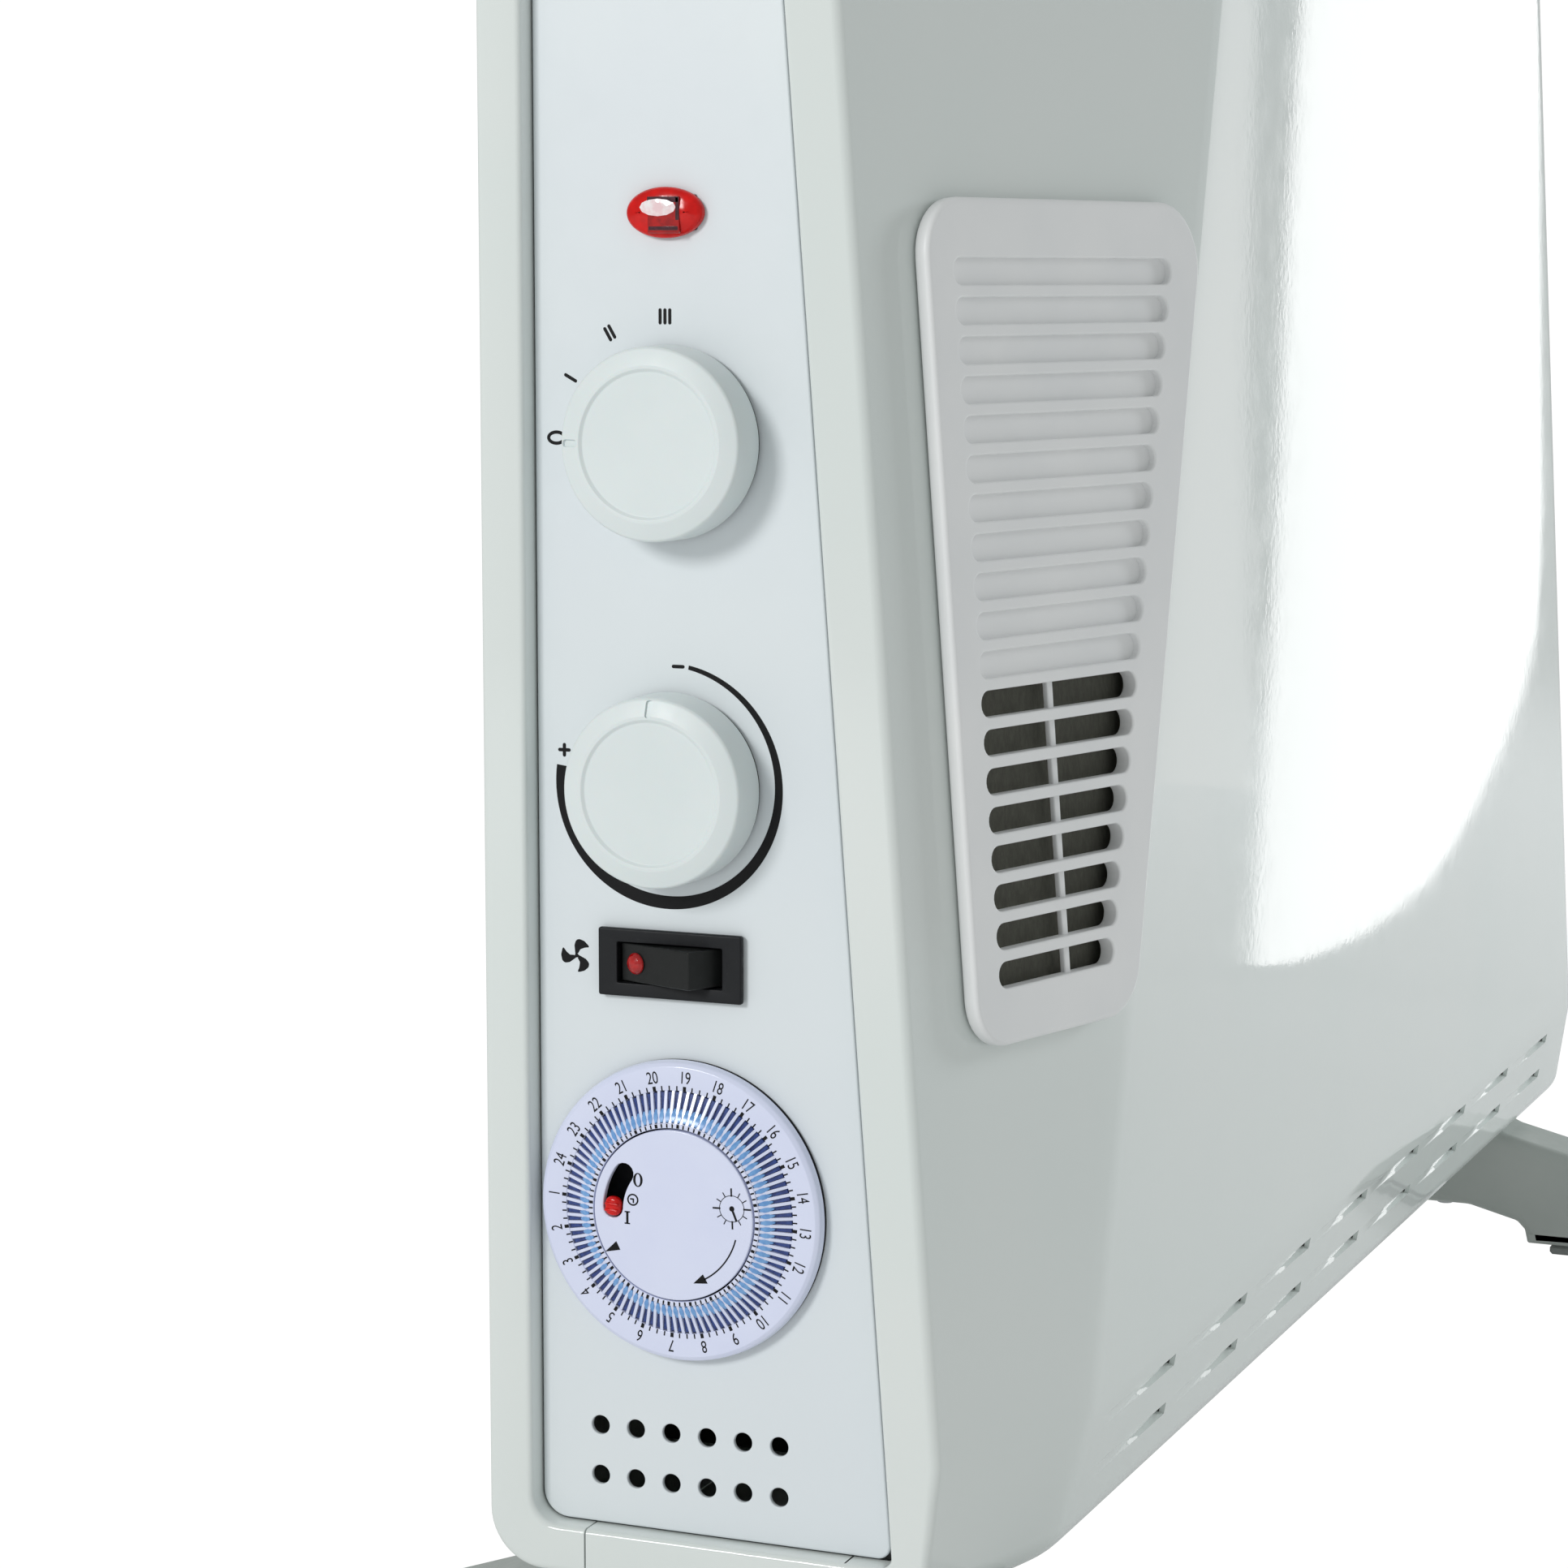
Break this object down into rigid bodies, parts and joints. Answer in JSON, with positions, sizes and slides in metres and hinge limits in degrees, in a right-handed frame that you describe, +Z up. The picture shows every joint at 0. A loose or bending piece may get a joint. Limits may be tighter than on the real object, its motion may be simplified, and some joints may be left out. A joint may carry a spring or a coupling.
{
  "type": "fan convector heater",
  "caption": "Free-standing fan convector heater: folded steel casing on two feet, end controls, side vent and round timer dial.",
  "frame": {"origin": "middle of the footprint of the whole heater, on the floor", "axes": "+X along the casing away from the control end; the front faces -Y; +Z up"},
  "size_m": [0.6074, 0.21, 0.402],
  "materials": {
    "white_enamel": "glossy white powder coat with a fine orange-peel",
    "panel_paint": "satin cool-white paint",
    "grille_plastic": "fine matt moulded plastic",
    "knob_plastic": "satin moulded plastic",
    "black_plastic": "fine grained black plastic",
    "red_lens": "clear red moulding",
    "dial_plastic": "glossy lilac-white plastic",
    "tappet_blue": "glossy blue plastic",
    "foot_plastic": "satin grey plastic",
    "rubber": "soft matt",
    "steel": "galvanised",
    "element_steel": "heat-darkened",
    "insulating_board": "mica board"
  },
  "bodies": {
    "casing": {"front_shell": "white_enamel", "rear_shell": "white_enamel", "base_plate": "white_enamel", "top_grille": "white_enamel", "control_panel": "panel_paint", "blind_end_panel": "panel_paint", "vent_grille": "grille_plastic", "pilot_lamp_lens": "red_lens", "pilot_lamp_body": "black_plastic", "selector_switch": "black_plastic", "thermostat_body": "steel", "rocker_housing": "black_plastic", "timer_body": "black_plastic", "timer_centre_disc": "dial_plastic", "fan_bulkhead": "steel", "fan_bracket": "steel", "fan_motor": "steel", "heating_element_1": "element_steel", "heating_element_2": "element_steel", "element_bracket_1": "insulating_board", "element_bracket_2": "insulating_board", "heat_shield": "steel", "thermal_cutout": "black_plastic", "terminal_block": "black_plastic", "cord_gland": "black_plastic", "foot_1": "foot_plastic", "foot_2": "foot_plastic", "foot_pad_1": "rubber", "foot_screw_1": "steel", "foot_pad_2": "rubber", "foot_screw_2": "steel", "foot_pad_3": "rubber", "foot_screw_3": "steel", "foot_pad_4": "rubber", "foot_screw_4": "steel", "rear_screw_1": "steel", "rear_screw_2": "steel", "rear_screw_3": "steel", "rear_screw_4": "steel", "rear_screw_5": "steel", "rear_screw_6": "steel"},
    "selector": {"selector_knob": "knob_plastic", "selector_shaft": "steel"},
    "thermostat": {"thermostat_knob": "knob_plastic", "thermostat_shaft": "steel"},
    "rocker": {"rocker_button": "black_plastic", "rocker_lens": "red_lens"},
    "dial": {"timer_dial": "dial_plastic", "timer_tappets": "tappet_blue"},
    "mode_lever": {"timer_mode_lever": "red_lens"},
    "fan": {"fan_impeller": "black_plastic", "fan_shaft": "steel"}
  },
  "joints": [
    {"name": "selector_turn", "type": "hinge", "parent": "casing", "child": "selector", "pos_m": [-0.2913, 0.0193, 0.2758], "axis": [1, 0, 0], "range_deg": [0, 90]},
    {"name": "thermostat_turn", "type": "hinge", "parent": "casing", "child": "thermostat", "pos_m": [-0.2913, 0.0193, 0.2069], "axis": [1, 0, 0], "range_deg": [0, 285]},
    {"name": "rocker_tilt", "type": "hinge", "parent": "casing", "child": "rocker", "pos_m": [-0.2888, 0.0196, 0.1708], "axis": [0, 0, -1], "range_deg": [0, 20]},
    {"name": "dial_turn", "type": "hinge", "parent": "casing", "child": "dial", "pos_m": [-0.2913, 0.017, 0.1206], "axis": [1, 0, 0], "continuous": true},
    {"name": "lever_swing", "type": "hinge", "parent": "casing", "child": "mode_lever", "pos_m": [-0.2913, 0.017, 0.1206], "axis": [1, 0, 0], "range_deg": [0, 32]},
    {"name": "fan_spin", "type": "hinge", "parent": "casing", "child": "fan", "pos_m": [-0.2093, 0.008, 0.197], "axis": [1, 0, 0], "continuous": true}
  ]
}
